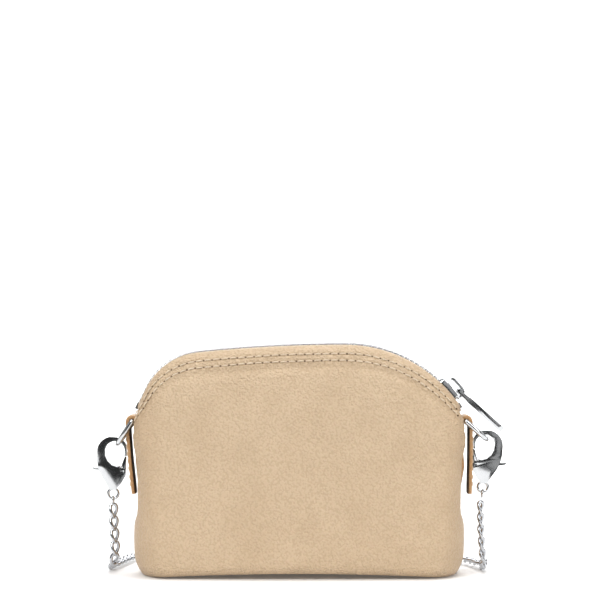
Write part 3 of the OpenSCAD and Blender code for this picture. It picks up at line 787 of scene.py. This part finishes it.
def seamRows(name, side):
    # each stitch is a short arched thread whose ends dive into two needle holes
    threads, holes = [], []
    tube, tubeFaces = stitchShape()
    # the dark discs sunk just under the surface at each needle hole carry painted shade
    disc = np.arange(8) * math.pi / 4
    hole = np.concatenate([np.stack([0.36 * np.cos(disc), 0.36 * np.sin(disc), 0 * disc + z], 1)
                           for z in (-0.1, -0.6)])
    holeFaces = np.concatenate([gridFaces(2, 8, wrapCols=True), [[0, 1, 2, 3], [0, 3, 4, 7], [4, 5, 6, 7]],
                                [[8, 9, 10, 11], [8, 11, 12, 15], [12, 13, 14, 15]]])
    for depth in stitch["rows"]:
        s = np.arange(5.5, zipLength - 6, stitch["pitch"])
        q, n, along = seamLine(depth, side, s)
        across = unit(np.cross(n, along))
        wobble = 0.1 * np.sin(s * 3.7 + depth)[:, None]
        base = (q + n * (0.17 - 0.3) + across * wobble)
        threads.append(repeatShape(tube * mm, tubeFaces, base * mm + n * 0.42 * mm, along, across, n))
        ends = (q + along * stitch["pitch"] / 2)
        holes.append(repeatShape(hole * mm, holeFaces, ends * mm, along, across, n))
    for label, parts, material in (("Thread", threads, thread), ("Holes", holes, needleHoleShade)):
        jump = len(parts[0][0])
        obj = makeObject(name + label, np.concatenate([p for p, f in parts]),
                         np.concatenate([parts[0][1], parts[1][1] + jump]), material)
        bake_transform(obj)


seamRows("frontSeam", -1)
seamRows("backSeam", 1)
print("stitching ready")


# ---------- straps that hold the D-rings ----------
strap = {"thick": 1.8, "half": 6.0, "loop": 2.1, "bar": (71.4, 65.0)}


def strapPath(points, spots):
    # the inner leg goes up, round the ring's bar and down again as the outer leg
    a = np.radians(np.linspace(180, 0, 25))
    bx, bz = strap["bar"]
    loop = np.stack([bx + strap["loop"] * np.cos(a), bz + strap["loop"] * np.sin(a)], 1)
    return np.concatenate([points, loop, spots])


def sideStrap(name, side, inner, outer, node):
    path = strapPath(np.array(inner), np.array(outer))
    s = np.concatenate([[0], np.cumsum(np.linalg.norm(np.diff(path, axis=0), axis=1))])
    even = np.linspace(0, s[-1], 110)
    line = np.stack([np.interp(even, s, path[:, k]) for k in (0, 1)], 1)
    for k in range(4):
        line[1:-1] = (line[:-2] + 2 * line[1:-1] + line[2:]) / 4
    d = unit(np.gradient(line, axis=0))
    n = np.stack([-d[:, 1], d[:, 0]], 1)  # away from the strap's inside, which faces the bar
    endRound = np.minimum(1, np.minimum(even, even[-1] - even) / 3.0)
    half = strap["half"] * (0.72 + 0.28 * np.sqrt(np.maximum(0, 1 - (1 - endRound) ** 2)))
    # rounded oblong section: skin side, painted edge, flesh side, painted edge
    t = strap["thick"] / 2
    u = np.concatenate([np.linspace(-1, 1, 13), [1.0, 1.0], np.linspace(1, -1, 13), [-1.0, -1.0]])
    v = np.concatenate([1 - 0.30 * np.abs(np.linspace(-1, 1, 13)) ** 8, [0.35, -0.35],
                        -1 + 0.30 * np.abs(np.linspace(1, -1, 13)) ** 8, [-0.35, 0.35]])
    bow = np.concatenate([np.zeros(13), [0.25, 0.25], np.zeros(13), [-0.25, -0.25]])
    y = u[None, :] * half[:, None] * 0.985 + bow[None, :]
    seamDip = 0.10 * np.exp(-((np.abs(y) - half[:, None] + 1.4) / 0.4) ** 2)
    off = v[None, :] * t * (1 - seamDip * (v[None, :] > 0))
    x = line[:, 0:1] + n[:, 0:1] * off
    z = line[:, 1:2] + n[:, 1:2] * off
    grid = np.stack([side * x, np.clip(y, -6, 6), z], -1) * mm
    rows, cols = grid.shape[:2]
    caps = [list(range(cols)), list(range((rows - 1) * cols, rows * cols))]
    obj = makeObject(name, grid, gridFaces(rows, cols, wrapCols=True),
                     [strapLeather, strapInsideShaded, strapEdge], extra=caps)
    kind = np.tile(np.array([0] * 12 + [2, 2, 2] + [1] * 12 + [2, 2, 2]), rows - 1)
    obj.data.polygons.foreach_set("material_index", np.concatenate([kind, [2, 2]]).astype(np.int32))
    outward(obj)
    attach(obj, "pouch")
    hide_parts(node)
    # one row of stitches along each edge of the outer leg
    at = np.arange(even[-1] - 24, even[-1] - 2.5, 3.2)
    k = np.searchsorted(even, at)
    tube, tubeFaces = stitchShape()
    spots, flows, ups = [], [], []
    for yy in (-1, 1):
        base = np.stack([side * (line[k, 0] + n[k, 0] * (t - 0.1)),
                         yy * (strap["half"] - 1.4) * np.ones(len(k)),
                         line[k, 1] + n[k, 1] * (t - 0.1)], 1)
        spots.append(base)
        flows.append(np.stack([side * d[k, 0], 0 * at, d[k, 1]], 1))
        ups.append(np.stack([side * n[k, 0], 0 * at, n[k, 1]], 1))
    spots, flows, ups = map(np.concatenate, (spots, flows, ups))
    pts, fs = repeatShape(tube * mm * 0.85, tubeFaces, (spots + ups * 0.28) * mm, flows,
                          np.cross(ups, flows), ups)
    seam = makeObject(name + "Thread", pts, fs, thread)
    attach(seam, "pouch")


sideStrap("rightStrap", 1, [(68, 35.6), (69.9, 46), (69.3, 53)], [(73.4, 50), (73.1, 34)], "right_tab")
sideStrap("leftStrap", -1, [(67.7, 35.6), (68.8, 46), (69.3, 53)], [(72.4, 50), (70.75, 34)], "left_tab")
print("straps ready")


# ---------- metal parts ----------
def softened(name, node, body, material, width, segments=3):
    # a copy of the machined shape with its flat faces joined and every edge rounded
    import bmesh
    shape = bmesh.new()
    shape.from_mesh(bpy.data.objects[node].data)
    bmesh.ops.remove_doubles(shape, verts=shape.verts, dist=2e-6)
    bmesh.ops.dissolve_limit(shape, angle_limit=0.02, verts=shape.verts, edges=shape.edges)
    mesh = bpy.data.meshes.new(name)
    shape.to_mesh(mesh)
    shape.free()
    mesh.materials.clear()
    mesh.materials.append(material)
    mesh.polygons.foreach_set("material_index", np.zeros(len(mesh.polygons), np.int32))
    mesh.polygons.foreach_set("use_smooth", np.ones(len(mesh.polygons), bool))
    obj = bpy.data.objects.new(name, mesh)
    bpy.context.scene.collection.objects.link(obj)
    finish(obj, width, segments)
    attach(obj, body)
    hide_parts(node)
    return obj


softened("rightClasp", "right_clasp_body", "right_clasp", chrome, 0.75 * mm, 4)
softened("leftClasp", "left_clasp_body", "left_clasp", chrome, 0.75 * mm, 4)
softened("rightTrigger", "right_clasp_gate", "right_gate", chrome, 0.3 * mm)
softened("leftTrigger", "left_clasp_gate", "left_gate", chrome, 0.3 * mm)
softened("zipPull", "zip_puller", "puller", chrome, 0.38 * mm)
softened("sliderShell", "slider_body", "slider", chrome, 0.28 * mm)
softened("sliderLoop", "slider_bridge", "slider", chrome, 0.3 * mm)



def gateSpring(name, side, hook, tilt, node, clasp):
    # a wound wire under the trigger: four turns round an upright axis, squeezed as it opens
    turn = np.linspace(0, 4, 97) * 2 * math.pi
    line = np.stack([0.4 + 0.6 * np.cos(turn), 0.6 * np.sin(turn), -8.72 - 1.35 * turn / turn[-1]], 1)
    flow = unit(np.gradient(line, axis=0))
    out = unit(line - np.stack([np.full(97, 0.4), np.zeros(97), line[:, 2]], 1))
    up = np.cross(out, flow)
    a = np.arange(8) * math.pi / 4
    ring = np.cos(a)[None, :, None] * out[:, None] + np.sin(a)[None, :, None] * up[:, None]
    tube = line[:, None] + 0.17 * ring
    c, s = math.cos(math.radians(tilt)), math.sin(math.radians(tilt))
    x, y, z = tube[..., 0], tube[..., 1], tube[..., 2]
    grid = np.stack([side * (hook[0] + x * c + z * s), y, hook[1] - x * s + z * c], -1) * mm
    ends = [list(range(8)), list(range(96 * 8, 97 * 8))]
    obj = outward(makeObject(name, grid, gridFaces(97, 8, wrapCols=True), chrome, extra=ends))
    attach(obj, clasp)
    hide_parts(node)
    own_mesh(obj)


gateSpring("rightGateSpring", 1, (79.7, 53.7), 5, "right_gate_spring", "right_clasp")
gateSpring("leftGateSpring", -1, (79.1, 50.9), 0, "left_gate_spring", "left_clasp")

for node in ("left_d_ring", "right_d_ring", "left_gate_pin", "right_gate_pin", "left_end_link",
             "right_end_link", "slider_lock_spring", "top_stops", "bottom_stop"):
    for spot in bpy.data.objects[node].material_slots:
        spot.material = toothMetal if "stop" in node else chrome
print("metal parts ready")

print("pouch ready")
